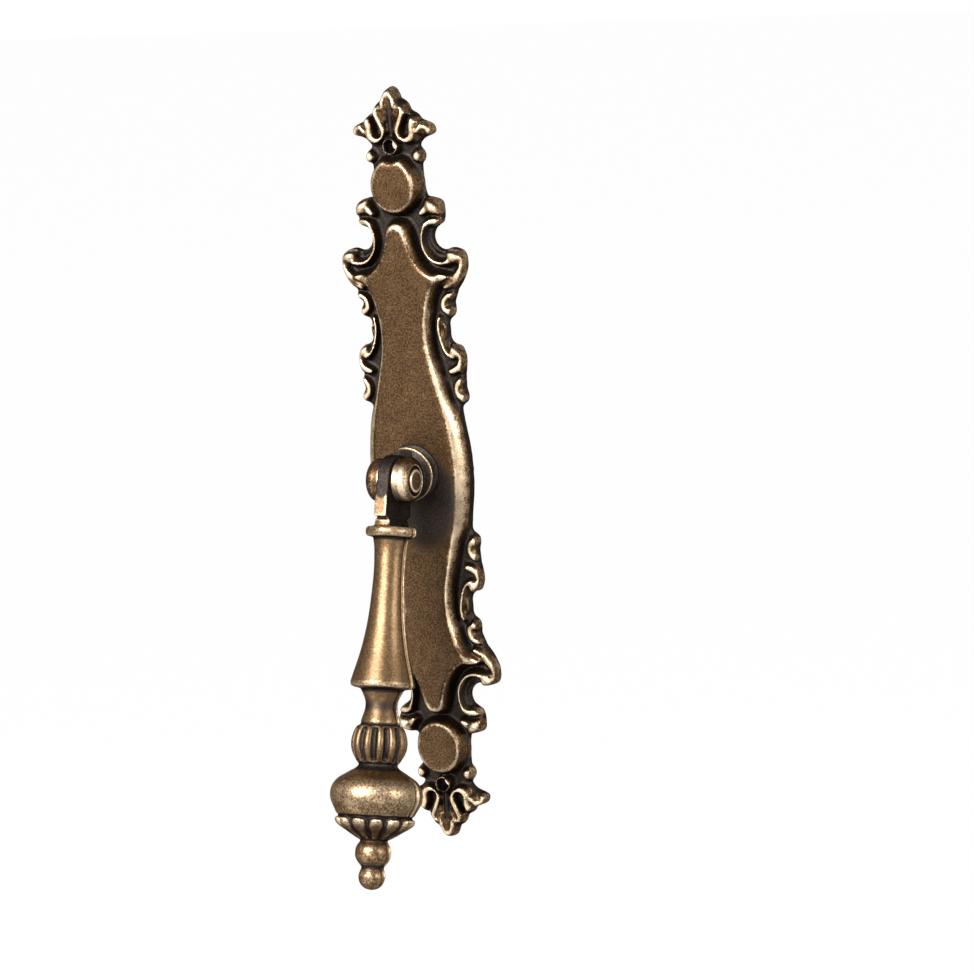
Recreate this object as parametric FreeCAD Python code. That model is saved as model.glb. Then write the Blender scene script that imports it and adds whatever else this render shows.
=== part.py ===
"""Drop pull: cast backplate, forked post, rivet pin and swinging drop. All lengths in millimetres."""
import FreeCAD
import Part
import math
import os

# Frame: the origin is the centre of the plate's back face, which lies in the plane y = 0.
# The plate's front faces -y, its length runs along z and its width along x.
# A height in this file is the distance in front of the back face.

# Overall plan of the plate. The ornament drawn below stretches with it, screw holes and all.
PLATE_LENGTH = 151.0
PLATE_WIDTH = 27.1

# Heights of the casting.
GROUND_HEIGHT = 1.0
BACK_TAPER = 0.6
FIELD_HEIGHT = 4.4
FIELD_SHOULDER_HEIGHT = 3.5
FIELD_SHOULDER_SHARE = 0.55
ORNAMENT_ROOT = 0.5
RIDGE_FOOT_FLARE = 0.2
RIDGE_SHOULDER_RISE = 0.7
RIDGE_SHOULDER_WIDTH = 0.88
RIDGE_CREST_WIDTH = 0.45

# Oval panel and screw hole at each end, and the bead beside the hole.
OVAL_CENTRE = 56.3
OVAL_HALF_WIDTH = 5.15
OVAL_HALF_HEIGHT = 5.6
OVAL_TOP = 4.1
OVAL_EDGE_RADIUS = 0.7
SCREW_CENTRE = 64.0
SCREW_HOLE_RADIUS = 1.2
SCREW_RIM_WALL = 0.5
SCREW_RIM_TOP = 4.0
SCREW_HEAD_CLEARANCE = 2.9
NOTCH_FLOOR = 2.2

# Post: foot, flange and barrel head.
PIVOT_HEIGHT = 12.65
FOOT_RADIUS = 5.5
FOOT_THICKNESS = 0.4
WAIST_RADIUS = 4.4
WAIST_HEIGHT = 5.4
FLANGE_RADIUS = 5.4
FLANGE_LOW = 6.5
FLANGE_THICKNESS = 0.5
POST_NECK_RADIUS = 3.9
BARREL_RADIUS = 4.3
BARREL_HALF_LENGTH = 4.6
BARREL_FACE_RADIUS = 3.2
BARREL_STRAIGHT = 2.6
CHEEK_RECESS_RADIUS = 2.95
CHEEK_RECESS_DEPTH = 0.5
SHANK_RADIUS = 2.2
RIVET_HEAD_RADIUS = 3.2
RIVET_HEAD_DEPTH = 1.0

# Pin and the tongue that turns on it.
PIN_RADIUS = 1.3
PIN_HEAD_RADIUS = 2.25
PIN_HEAD_THICKNESS = 0.75
PIN_CLEARANCE = 0.08
TONGUE_THICKNESS = 2.55
TONGUE_RADIUS = 5.0
TONGUE_FOOT_HALF_DEPTH = 5.4
TONGUE_CLEARANCE = 0.15
TONGUE_END_CLEARANCE = 0.5
TONGUE_LENGTH = 7.3
TONGUE_NOTCH_LENGTH = 0.5
TONGUE_NOTCH_HALF_DEPTH = 4.0

# Drop. Lengths are measured down its own axis from the pin.
REST_SWING = 17.1
BLOCK_WIDTH = 3.2
BLOCK_HALF_DEPTH = 4.5
COLLAR_TOP = 9.1
COLLAR_OVERLAP = 0.3
RIB_COUNT = 12
RIB_GROOVE_RADIUS = 0.7
RIB_BALL_RADIUS = 5.5
RIB_BALL_CENTRE = 51.1
RIB_BALL_TOP = 47.8
RIB_BALL_BOTTOM = 54.6
PETAL_COUNT = 12
PETAL_GROOVE_RADIUS = 0.6
PETAL_RIM = (7.95, 65.4)
PETAL_ROOT = (3.3, 69.7)
UPPER_BALL_RADIUS = 3.5
UPPER_BALL_CENTRE = 72.2
LOWER_BALL_RADIUS = 2.6
LOWER_BALL_CENTRE = 76.8

# Outline of one quarter of the plate, as (x, z), from the middle of the long side to the tip.
# Each list is one smooth stretch; the stretches meet at corners.
OUTLINE = [
    [(11.05, 0), (10.75, 5), (10.15, 8.8), (9.9, 11.7)],
    [(9.9, 11.7), (10.3, 12.7), (11.1, 13.3), (11.45, 14.2), (11.3, 15.3), (11.1, 16.8),
     (11.15, 18.2), (11.4, 20), (11.55, 22.1), (11.25, 23.4), (10.4, 24.4), (9.3, 24.95),
     (8.7, 25.9), (8.55, 27.5), (8.6, 29.0), (9.05, 29.9)],
    [(9.05, 29.9), (9.8, 30.5), (10.15, 31.6), (10.1, 32.7), (10.35, 33.9), (11.05, 35.5),
     (12.1, 37.0), (12.9, 38.5), (13.45, 40.0), (13.55, 41.0), (13.15, 42.3), (12.4, 43.2),
     (11.4, 43.8), (10.4, 43.85), (9.4, 43.55)],
    [(9.4, 43.55), (8.7, 43.5), (7.9, 43.8), (7.25, 44.4), (6.85, 45.3), (6.8, 46.3),
     (7.1, 47.2), (7.7, 47.9), (8.6, 48.5)],
    [(8.6, 48.5), (9.2, 49.3), (9.45, 50.5), (9.25, 51.8), (8.7, 52.8), (7.8, 53.5),
     (6.8, 53.8), (6.0, 53.9)],
    [(6.0, 53.9), (5.65, 55.5), (5.5, 58), (5.45, 60.4)],
    [(5.45, 60.4), (6.1, 61.1), (6.3, 61.9), (6.0, 62.8), (5.45, 63.3)],
    [(5.45, 63.3), (5.45, 64.2), (6.0, 64.9), (7.15, 65.5), (8.6, 66.1)],
    [(8.6, 66.1), (8.9, 66.8), (8.4, 67.6), (7.5, 68.35), (6.6, 68.75), (5.9, 68.9)],
    [(5.9, 68.9), (5.65, 69.5), (5.1, 70.1), (4.4, 70.5), (3.75, 70.6)],
    [(3.75, 70.6), (3.65, 71.4), (3.1, 72.3), (2.5, 72.8), (1.85, 72.9)],
    [(1.85, 72.9), (1.6, 74.0), (0.9, 75.1), (0, 75.5)],
]

# Raised field: its worn top edge and the foot of its sloping side, point for point.
# The first stretch runs up the side to the star tip, the second from there to the neck tip.
FIELD_TOP = [
    [(8.65, 0), (8.4, 5), (7.75, 10), (6.9, 15), (5.85, 20), (5.2, 23.5), (4.95, 27.5),
     (5.3, 31), (6.0, 33.8), (6.9, 36), (8.0, 37.5), (9.9, 38.5)],
    [(9.9, 38.5), (7.8, 38.7), (6.4, 39.1), (5.2, 40), (4.1, 41.4), (3.3, 43), (2.7, 44.8),
     (2.3, 46.4), (1.9, 47.6), (1.1, 48.6), (0, 48.9)],
]
FIELD_FOOT = [
    [(10.9, 0), (10.6, 5), (9.75, 10), (8.0, 15), (6.65, 20), (5.85, 23.5), (5.6, 27.5),
     (5.95, 31), (6.65, 33.8), (7.5, 35.8), (8.5, 37.1), (10.6, 38.45)],
    [(10.6, 38.45), (7.9, 39.2), (6.7, 39.7), (5.6, 40.6), (4.55, 41.9), (3.8, 43.4),
     (3.2, 45.1), (2.8, 46.7), (2.35, 48.0), (1.4, 49.1), (0, 49.45)],
]

# Raised ornament of one quarter. Each ridge is a path of (x, z, half width), then its height at
# the start and at the end of the path.
RIDGES = {
    "c_scroll": ([(5.9, 48.3, 0.48), (5.35, 47.0, 0.42), (5.15, 45.4, 0.4), (5.35, 44.1, 0.4),
                  (5.85, 43.0, 0.4), (6.6, 42.05, 0.4), (7.6, 41.4, 0.42), (8.9, 41.15, 0.46),
                  (10.2, 41.35, 0.55)], 3.5, 3.6),
    "scroll_end": ([(5.7, 47.9, 0.42), (6.5, 48.9, 0.65), (7.45, 49.35, 0.75), (8.4, 49.3, 0.6)],
                   3.4, 2.6),
    "upper_lobe": ([(5.4, 50.9, 0.4), (6.3, 51.6, 0.8), (7.3, 52.05, 1.25), (7.95, 52.0, 1.3)],
                   3.4, 2.9),
    "gutter_lip": ([(6.76, 47.4, 0.14), (6.4, 46.3, 0.15), (6.45, 45.2, 0.15), (6.93, 44.16, 0.16),
                    (7.74, 43.44, 0.16), (8.5, 43.15, 0.14)], 1.7, 1.7),
    "volute_leaf": ([(12.3, 42.75, 0.55), (12.75, 42.0, 0.5), (12.85, 41.0, 0.46),
                     (12.65, 39.9, 0.55), (11.95, 38.8, 0.7), (11.0, 37.8, 0.8),
                     (10.0, 36.95, 0.65), (9.1, 36.4, 0.42)], 2.4, 2.9),
    "upper_curl": ([(9.8, 34.7, 0.28), (8.9, 34.15, 0.4), (8.35, 33.2, 0.48), (8.35, 32.2, 0.5),
                    (8.9, 31.55, 0.52), (9.5, 31.35, 0.5)], 2.7, 2.7),
    "side_rib": ([(7.25, 30.3, 0.25), (6.95, 29.3, 0.32), (6.85, 28.1, 0.35), (7.05, 26.6, 0.35),
                  (7.45, 25.0, 0.35), (8.0, 23.7, 0.37), (8.7, 22.9, 0.4), (9.5, 22.6, 0.45)],
                 2.9, 3.0),
    "side_fold": ([(7.7, 28.9, 0.2), (8.0, 28.2, 0.25), (8.0, 27.2, 0.25), (7.85, 26.2, 0.2)],
                  2.1, 2.0),
    "side_leaf": ([(10.85, 23.2, 0.3), (11.05, 22.0, 0.38), (10.85, 21.0, 0.48),
                   (10.2, 20.2, 0.58), (9.4, 19.75, 0.55), (8.8, 19.6, 0.38)], 2.3, 2.8),
    "lower_curl": ([(10.4, 17.7, 0.28), (9.9, 17.0, 0.4), (9.65, 16.0, 0.48), (9.9, 15.0, 0.52),
                    (10.4, 14.45, 0.52), (10.75, 14.35, 0.42)], 2.5, 2.5),
    "eye_rim": ([(2.6, 72.0, 0.3), (3.0, 71.5, 0.36), (3.05, 70.9, 0.36), (2.75, 70.0, 0.36),
                 (2.3, 69.0, 0.36), (1.85, 68.0, 0.36), (1.5, 67.0, 0.34), (1.55, 66.1, 0.34),
                 (2.15, 65.4, 0.36), (3.05, 65.1, 0.45), (3.95, 65.35, 0.6), (4.6, 66.1, 0.75),
                 (4.75, 67.0, 0.8), (4.75, 68.0, 0.75), (4.95, 68.8, 0.6), (5.15, 69.3, 0.4)],
                3.4, 3.2),
    "lobe_fold": ([(2.75, 72.0, 0.3), (2.0, 71.6, 0.3), (1.35, 70.95, 0.26), (0.85, 70.3, 0.2)],
                  3.3, 2.8),
    "lobe_floor": ([(1.3, 69.2, 0.35), (1.75, 70.2, 0.6), (2.15, 71.0, 0.6)], 2.5, 2.6),
    "side_lobe": ([(5.75, 66.85, 0.25), (6.35, 67.5, 0.33), (6.95, 67.8, 0.42), (7.6, 67.65, 0.5),
                   (8.1, 67.2, 0.5), (8.3, 66.65, 0.42)], 3.2, 2.4),
    "side_floor": ([(6.3, 66.6, 0.35), (7.0, 66.95, 0.55), (7.7, 66.75, 0.5)], 2.4, 2.0),
    "tip_lobe": ([(1.1, 71.7, 0.28), (1.22, 72.7, 0.36), (1.08, 73.6, 0.4), (0.6, 74.4, 0.42),
                  (-0.1, 74.75, 0.42)], 3.3, 3.5),
}
VEIN = ([(0, 66.1, 0.5), (0, 68.2, 0.45), (0, 70.4, 0.4), (0, 72.2, 0.6), (0, 73.4, 0.75),
         (0, 74.2, 0.5)], 2.5, 2.9)

# Round bosses of one quarter, as (x, z, radius, height of the top).
BOSSES = {
    "volute": (11.3, 42.4, 1.4, 3.4),
    "side_scroll": (10.05, 23.55, 1.15, 3.0),
    "bead": (5.25, 61.85, 0.95, 2.9),
}

# Drop, as (radius, distance below the pin): collar and shaft, neck, bulb.
COLLAR_CURVE = [(4.65, 9.1), (4.95, 9.5), (4.95, 10.6), (4.65, 11.0)]
SHAFT_CURVE = [(3.5, 11.15), (3.15, 13.5), (3.25, 23), (4.3, 31.5), (6.3, 39.3)]
BELL_LIP_CURVE = [(6.3, 39.3), (6.2, 40.0), (5.6, 40.35)]
NECK_CURVE = [(4.2, 40.6), (3.12, 43.4), (3.85, 47.0)]
BALL_SEAT_RADIUS = 3.6
BULB_CURVE = [(3.8, 55.5), (5.6, 56.7), (8.3, 58.8), (9.0, 61.3), (7.6, 64.85)]
CUP_CURVE = [(7.95, 65.4), (7.35, 66.5), (5.2, 68.3), (3.3, 69.7)]
STEM_RADIUS = 2.4
TIP_NECK_RADIUS = 2.0

DRAWN_HALF_LENGTH = max(z for stretch in OUTLINE for x, z in stretch)
DRAWN_HALF_WIDTH = max(x for stretch in OUTLINE for x, z in stretch)
LENGTH_STRETCH = PLATE_LENGTH / (2 * DRAWN_HALF_LENGTH)
WIDTH_STRETCH = PLATE_WIDTH / (2 * DRAWN_HALF_WIDTH)
SCREW_OFFSET = SCREW_CENTRE * LENGTH_STRETCH
OVAL_OFFSET = OVAL_CENTRE * LENGTH_STRETCH
SEAT_REACH = BARREL_HALF_LENGTH - CHEEK_RECESS_DEPTH
SLOT_WIDTH = TONGUE_THICKNESS + 2 * TONGUE_CLEARANCE
SLOT_FLOOR = PIVOT_HEIGHT - TONGUE_RADIUS - TONGUE_END_CLEARANCE
FRONT = FreeCAD.Vector(0, -1, 0)
ALONG_X = FreeCAD.Vector(1, 0, 0)
ALONG_Z = FreeCAD.Vector(0, 0, 1)
ORIGIN = FreeCAD.Vector(0, 0, 0)


def on_plate(x, z, height):
    """A point of the plate, from its drawn plan position and its height."""
    return FreeCAD.Vector(x * WIDTH_STRETCH, -height, z * LENGTH_STRETCH)


def curve_through(points):
    curve = Part.BSplineCurve()
    curve.interpolate(points)
    return curve


def mirrored(points, flip_x, flip_z):
    sign_x = -1 if flip_x else 1
    sign_z = -1 if flip_z else 1
    return [(sign_x * x, sign_z * z) for x, z in points]


def all_round(quarter):
    """Smooth stretches of a closed outline, from those of one quarter of it."""
    side = mirrored(quarter[0], False, True)[:0:-1] + quarter[0]
    tip = quarter[-1] + mirrored(quarter[-1], True, False)[-2::-1]
    between = quarter[1:-1]
    stretches = [side] + between + [tip]
    stretches += [mirrored(s, True, False)[::-1] for s in reversed(between)]
    stretches += [mirrored(side, True, True)]
    stretches += [mirrored(s, True, True) for s in between]
    stretches += [mirrored(tip, True, True)]
    stretches += [mirrored(s, False, True)[::-1] for s in reversed(between)]
    return stretches


def drawn_in(stretches, distance):
    """The same outline moved inwards, with the two directions averaged at each corner."""
    outward = []
    for points in stretches:
        flat = [FreeCAD.Vector(x, 0, z) for x, z in points]
        curve = curve_through(flat)
        outward.append([curve.tangent(curve.parameter(p))[0].cross(FRONT) for p in flat])
    for before, after in zip(outward, outward[1:] + outward[:1]):
        mean = (before[-1] + after[0]).normalize()
        before[-1] = mean
        after[0] = mean
    return [[(x - n.x * distance, z - n.z * distance) for (x, z), n in zip(points, normals)]
            for points, normals in zip(stretches, outward)]


def loop_of(stretches, height):
    edges = [curve_through([on_plate(x, z, height) for x, z in s]).toShape() for s in stretches]
    return Part.Wire(edges)


def upright(wire, height):
    """Solid from a flat outline on the back plane, standing forward to a height."""
    return Part.Face(wire).extrude(FRONT * height)


def ridge(path, start_height, end_height, flip_x, flip_z):
    """Rounded-end ridge along a path, drawn in from its foot to its shoulder and its crest."""
    sign_x = -1 if flip_x else 1
    sign_z = -1 if flip_z else 1
    line = curve_through([on_plate(sign_x * x, sign_z * z, 0) for x, z, _ in path])
    chord = line.EndPoint - line.StartPoint
    rise = (end_height - start_height) / chord.Length ** 2

    def section(share, flare, level):
        left = []
        right = []
        for x, z, half_width in path:
            point = on_plate(sign_x * x, sign_z * z, 0)
            along = line.tangent(line.parameter(point))[0]
            across = FRONT.cross(along) * (half_width * share + flare)
            left.append(point + across)
            right.append(point - across)
        first = line.StartPoint - line.tangent(line.FirstParameter)[0] * (path[0][2] * share + flare)
        last = line.EndPoint + line.tangent(line.LastParameter)[0] * (path[-1][2] * share + flare)
        edges = [curve_through([level(p) for p in left]).toShape(),
                 Part.Arc(level(left[-1]), level(last), level(right[-1])).toShape(),
                 curve_through([level(p) for p in reversed(right)]).toShape(),
                 Part.Arc(level(right[0]), level(first), level(left[0])).toShape()]
        return Part.Wire(edges)

    def at_root(point):
        return point + FRONT * ORNAMENT_ROOT

    def at_crest(point):
        return point + FRONT * (start_height + rise * (point - line.StartPoint).dot(chord))

    def at_shoulder(point):
        return at_root(point) + (at_crest(point) - at_root(point)) * RIDGE_SHOULDER_RISE

    return Part.makeLoft([section(1, RIDGE_FOOT_FLARE, at_root),
                          section(RIDGE_SHOULDER_WIDTH, 0, at_shoulder),
                          section(RIDGE_CREST_WIDTH, 0, at_crest)], True, True)


def boss(x, z, radius, top):
    """Round boss with a domed top."""
    centre = on_plate(x, z, 0)
    stem = Part.makeCylinder(radius, top - radius - ORNAMENT_ROOT, centre + FRONT * ORNAMENT_ROOT, FRONT)
    return stem.fuse(Part.makeSphere(radius, centre + FRONT * (top - radius)))


def four_ways():
    return [(flip_x, flip_z) for flip_x in (False, True) for flip_z in (False, True)]


def raised_field():
    shoulder = [[tuple(t + FIELD_SHOULDER_SHARE * (f - t) for t, f in zip(top, foot))
                 for top, foot in zip(tops, feet)] for tops, feet in zip(FIELD_TOP, FIELD_FOOT)]
    levels = [(FIELD_FOOT, ORNAMENT_ROOT), (shoulder, FIELD_SHOULDER_HEIGHT), (FIELD_TOP, FIELD_HEIGHT)]
    return Part.makeLoft([loop_of(all_round(quarter), height) for quarter, height in levels], True, True)


def oval_panel(sign):
    """Oval with a rounded front edge; the upper one is notched to clear the screw's head."""
    centre = ALONG_Z * (sign * OVAL_OFFSET)
    reaches = [ALONG_Z * (OVAL_HALF_HEIGHT * LENGTH_STRETCH), ALONG_X * (OVAL_HALF_WIDTH * WIDTH_STRETCH)]
    longer, shorter = sorted(reaches, key=lambda reach: reach.Length, reverse=True)
    rim = Part.Ellipse(centre + longer, centre + shorter, centre)
    rim.translate(FRONT * ORNAMENT_ROOT)
    body = upright(Part.Wire(rim.toShape()), OVAL_TOP - ORNAMENT_ROOT)
    front_edges = [edge for edge in body.Edges if edge.BoundBox.YMax < OVAL_EDGE_RADIUS - OVAL_TOP]
    body = body.makeFillet(OVAL_EDGE_RADIUS, front_edges)
    if sign < 0:
        return body
    return body.cut(Part.makeCylinder(SCREW_HEAD_CLEARANCE, OVAL_TOP,
                                      ALONG_Z * SCREW_OFFSET + FRONT * NOTCH_FLOOR, FRONT))


def screw_rim(sign):
    base = ALONG_Z * (sign * SCREW_OFFSET) + FRONT * ORNAMENT_ROOT
    return Part.makeCylinder(SCREW_HOLE_RADIUS + SCREW_RIM_WALL, SCREW_RIM_TOP - ORNAMENT_ROOT, base, FRONT)


def rivet_shank(length):
    """Shank through the plate with its flared, peened end flush with the back face."""
    head = Part.makeCone(RIVET_HEAD_RADIUS, SHANK_RADIUS, RIVET_HEAD_DEPTH, ORIGIN, FRONT)
    return head.fuse(Part.makeCylinder(SHANK_RADIUS, length, ORIGIN, FRONT))


def backplate():
    edge = all_round(OUTLINE)
    body = Part.makeLoft([loop_of(drawn_in(edge, BACK_TAPER), 0), loop_of(edge, GROUND_HEIGHT)], True, True)
    added = [raised_field()]
    for sign in (-1, 1):
        added += [oval_panel(sign), screw_rim(sign)]
    for flip_z in (False, True):
        added.append(ridge(*VEIN, False, flip_z))
    for flip_x, flip_z in four_ways():
        for path, start_height, end_height in RIDGES.values():
            added.append(ridge(path, start_height, end_height, flip_x, flip_z))
        for x, z, radius, top in BOSSES.values():
            (plan_x, plan_z), = mirrored([(x, z)], flip_x, flip_z)
            added.append(boss(plan_x, plan_z, radius, top))
    body = body.multiFuse(added)
    for sign in (-1, 1):
        body = body.cut(Part.makeCylinder(SCREW_HOLE_RADIUS, 2 * SCREW_RIM_TOP,
                                          ALONG_Z * (sign * SCREW_OFFSET) - FRONT * SCREW_RIM_TOP, FRONT))
    return body.cut(rivet_shank(2 * FIELD_HEIGHT)).removeSplitter()


def turned(points, axis):
    """Solid of revolution from a closed profile of straight lines."""
    return Part.Face(Part.makePolygon(points + points[:1])).revolve(ORIGIN, axis, 360)


def barrel_head():
    """Barrel along x with domed shoulders and flat end faces."""
    lift = ALONG_Z * BARREL_RADIUS
    corner = BARREL_STRAIGHT + (BARREL_HALF_LENGTH - BARREL_STRAIGHT) * math.sin(math.pi / 4)
    drop = (BARREL_RADIUS - BARREL_FACE_RADIUS) * (1 - math.cos(math.pi / 4))
    face = ALONG_Z * BARREL_FACE_RADIUS
    edges = [Part.makeLine(ALONG_X * -BARREL_HALF_LENGTH, face - ALONG_X * BARREL_HALF_LENGTH),
             Part.Arc(face - ALONG_X * BARREL_HALF_LENGTH, lift - ALONG_Z * drop - ALONG_X * corner,
                      lift - ALONG_X * BARREL_STRAIGHT).toShape(),
             Part.makeLine(lift - ALONG_X * BARREL_STRAIGHT, lift + ALONG_X * BARREL_STRAIGHT),
             Part.Arc(lift + ALONG_X * BARREL_STRAIGHT, lift - ALONG_Z * drop + ALONG_X * corner,
                      face + ALONG_X * BARREL_HALF_LENGTH).toShape(),
             Part.makeLine(face + ALONG_X * BARREL_HALF_LENGTH, ALONG_X * BARREL_HALF_LENGTH),
             Part.makeLine(ALONG_X * BARREL_HALF_LENGTH, ALONG_X * -BARREL_HALF_LENGTH)]
    return Part.Face(Part.Wire(edges)).revolve(ORIGIN, ALONG_X, 360)


def pin_seat(side):
    """Middle of the floor of a cheek's recess, where the pin's head sits."""
    return FRONT * PIVOT_HEIGHT + ALONG_X * (side * SEAT_REACH)


def pivot_post():
    profile = [(0, FIELD_HEIGHT), (FOOT_RADIUS, FIELD_HEIGHT), (FOOT_RADIUS, FIELD_HEIGHT + FOOT_THICKNESS),
               (WAIST_RADIUS, WAIST_HEIGHT), (FLANGE_RADIUS, FLANGE_LOW),
               (FLANGE_RADIUS, FLANGE_LOW + FLANGE_THICKNESS),
               (POST_NECK_RADIUS, FLANGE_LOW + 2 * FLANGE_THICKNESS),
               (POST_NECK_RADIUS, PIVOT_HEIGHT - BARREL_RADIUS / 2),
               (0, PIVOT_HEIGHT - BARREL_RADIUS / 2)]
    stem = turned([FreeCAD.Vector(r, -h, 0) for r, h in profile], FRONT)
    head = barrel_head()
    head.translate(FRONT * PIVOT_HEIGHT)
    reach = FLANGE_RADIUS + FOOT_RADIUS
    slot = Part.makeBox(SLOT_WIDTH, reach + PIVOT_HEIGHT - SLOT_FLOOR, 2 * reach,
                        FreeCAD.Vector(-SLOT_WIDTH / 2, -PIVOT_HEIGHT - reach, -reach))
    pin_hole = Part.makeCylinder(PIN_RADIUS, 2 * reach, FRONT * PIVOT_HEIGHT - ALONG_X * reach, ALONG_X)
    body = stem.fuse([head, rivet_shank(FIELD_HEIGHT + FOOT_THICKNESS)])
    recesses = [Part.makeCylinder(CHEEK_RECESS_RADIUS, CHEEK_RECESS_DEPTH, pin_seat(side), ALONG_X * side)
                for side in (-1, 1)]
    return body.cut([slot, pin_hole] + recesses).removeSplitter()


def pivot_pin():
    body = Part.makeCylinder(PIN_RADIUS, 2 * SEAT_REACH, pin_seat(-1), ALONG_X)
    heads = [Part.makeCylinder(PIN_HEAD_RADIUS, PIN_HEAD_THICKNESS, pin_seat(side), ALONG_X * side)
             for side in (-1, 1)]
    return body.fuse(heads).removeSplitter()


def below(radius, distance):
    """A point of the drop's turned profile, hanging straight down from the pin."""
    return FreeCAD.Vector(radius, 0, -distance)


def spun(stretches):
    """Solid turned about the drop's axis from curves and corner points, closed along the axis."""
    first = stretches[0][0]
    last = stretches[-1][-1]
    chain = [[(0, first[1]), first]] + stretches + [[last, (0, last[1])]]
    edges = []
    for number, points in enumerate(chain):
        if number and chain[number - 1][-1] != points[0]:
            edges.append(Part.makeLine(below(*chain[number - 1][-1]), below(*points[0])))
        if len(points) > 2:
            edges.append(curve_through([below(*p) for p in points]).toShape())
        else:
            edges.append(Part.makeLine(below(*points[0]), below(*points[1])))
    edges.append(Part.makeLine(below(0, last[1]), below(0, first[1])))
    return Part.Face(Part.Wire(edges)).revolve(ORIGIN, ALONG_Z, 360)


def ball(radius, centre):
    return Part.makeSphere(radius, below(0, centre))


def ribbed_ball():
    """Ball with meridian grooves, trimmed flat where the necks join it."""
    half = 2 * RIB_BALL_RADIUS
    body = ball(RIB_BALL_RADIUS, RIB_BALL_CENTRE).common(
        Part.makeBox(half, half, RIB_BALL_BOTTOM - RIB_BALL_TOP,
                     FreeCAD.Vector(-RIB_BALL_RADIUS, -RIB_BALL_RADIUS, -RIB_BALL_BOTTOM)))
    rings = []
    for number in range(RIB_COUNT // 2):
        angle = math.pi * (2 * number + 1) / RIB_COUNT
        rings.append(Part.makeTorus(RIB_BALL_RADIUS, RIB_GROOVE_RADIUS, below(0, RIB_BALL_CENTRE),
                                    FreeCAD.Vector(math.sin(angle), math.cos(angle), 0)))
    return body.cut(rings)


def petal_cup():
    """Cup whose rim is scalloped into petals by straight grooves."""
    body = spun([CUP_CURVE])
    fall = below(*PETAL_ROOT) - below(*PETAL_RIM)
    grooves = []
    for number in range(PETAL_COUNT):
        groove = Part.makeCylinder(PETAL_GROOVE_RADIUS, 2 * fall.Length, below(*PETAL_RIM) - fall / 2, fall)
        groove.rotate(ORIGIN, ALONG_Z, 360 * (number + 1 / 2) / PETAL_COUNT)
        grooves.append(groove)
    return body.cut(grooves)


def tongue():
    """Flat eye for the pin, a notch under it, and a thicker block on the collar."""
    half = TONGUE_THICKNESS / 2
    corners = [(TONGUE_RADIUS, 0), (TONGUE_FOOT_HALF_DEPTH, -TONGUE_LENGTH),
               (-TONGUE_FOOT_HALF_DEPTH, -TONGUE_LENGTH), (-TONGUE_RADIUS, 0)]
    foot = [FreeCAD.Vector(-half, y, z) for y, z in corners]
    head = Part.Arc(foot[-1], FreeCAD.Vector(-half, 0, TONGUE_RADIUS), foot[0]).toShape()
    eye = Part.Face(Part.Wire(Part.makePolygon(foot).Edges + [head])).extrude(ALONG_X * TONGUE_THICKNESS)
    depth = COLLAR_TOP + COLLAR_OVERLAP
    notch = Part.makeBox(TONGUE_THICKNESS, 2 * TONGUE_NOTCH_HALF_DEPTH, depth,
                         FreeCAD.Vector(-half, -TONGUE_NOTCH_HALF_DEPTH, -depth))
    block = Part.makeBox(BLOCK_WIDTH, 2 * BLOCK_HALF_DEPTH, depth - TONGUE_LENGTH - TONGUE_NOTCH_LENGTH,
                         FreeCAD.Vector(-BLOCK_WIDTH / 2, -BLOCK_HALF_DEPTH, -depth))
    rounding = Part.makeCylinder(BLOCK_HALF_DEPTH, depth, below(0, depth), ALONG_Z)
    return eye.fuse([notch, block.common(rounding)])


def drop_handle():
    upper = spun([COLLAR_CURVE, SHAFT_CURVE, BELL_LIP_CURVE, NECK_CURVE,
                  [(BALL_SEAT_RADIUS, RIB_BALL_TOP - COLLAR_OVERLAP), (BALL_SEAT_RADIUS, RIB_BALL_CENTRE)]])
    bulb = spun([[(BALL_SEAT_RADIUS, RIB_BALL_CENTRE), (BALL_SEAT_RADIUS, BULB_CURVE[0][1])], BULB_CURVE,
                 [(PETAL_RIM[0] - PETAL_GROOVE_RADIUS, PETAL_RIM[1]),
                  (PETAL_RIM[0] - 2 * PETAL_GROOVE_RADIUS, PETAL_RIM[1] + PETAL_GROOVE_RADIUS)]])
    stem = spun([[(STEM_RADIUS, PETAL_RIM[1]), (STEM_RADIUS, UPPER_BALL_CENTRE)],
                 [(TIP_NECK_RADIUS, UPPER_BALL_CENTRE), (TIP_NECK_RADIUS, LOWER_BALL_CENTRE)]])
    end_balls = [ball(UPPER_BALL_RADIUS, UPPER_BALL_CENTRE), ball(LOWER_BALL_RADIUS, LOWER_BALL_CENTRE)]
    body = upper.fuse([tongue(), ribbed_ball(), bulb, petal_cup(), stem] + end_balls)
    reach = 2 * TONGUE_RADIUS
    body = body.cut(Part.makeCylinder(PIN_RADIUS + PIN_CLEARANCE, 2 * reach, ALONG_X * -reach, ALONG_X))
    body = body.removeSplitter()
    body.rotate(ORIGIN, ALONG_X, -REST_SWING)
    body.translate(FRONT * PIVOT_HEIGHT)
    return body


# Each physical piece is written as one node.
os.makedirs("parts", exist_ok=True)
for make in (backplate, pivot_post, pivot_pin, drop_handle):
    make().exportStep(os.path.join("parts", make.__name__ + ".step"))
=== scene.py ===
import math
import bmesh
import bpy
import numpy as np
from mathutils import Matrix, Vector
from mathutils.bvhtree import BVHTree


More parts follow.
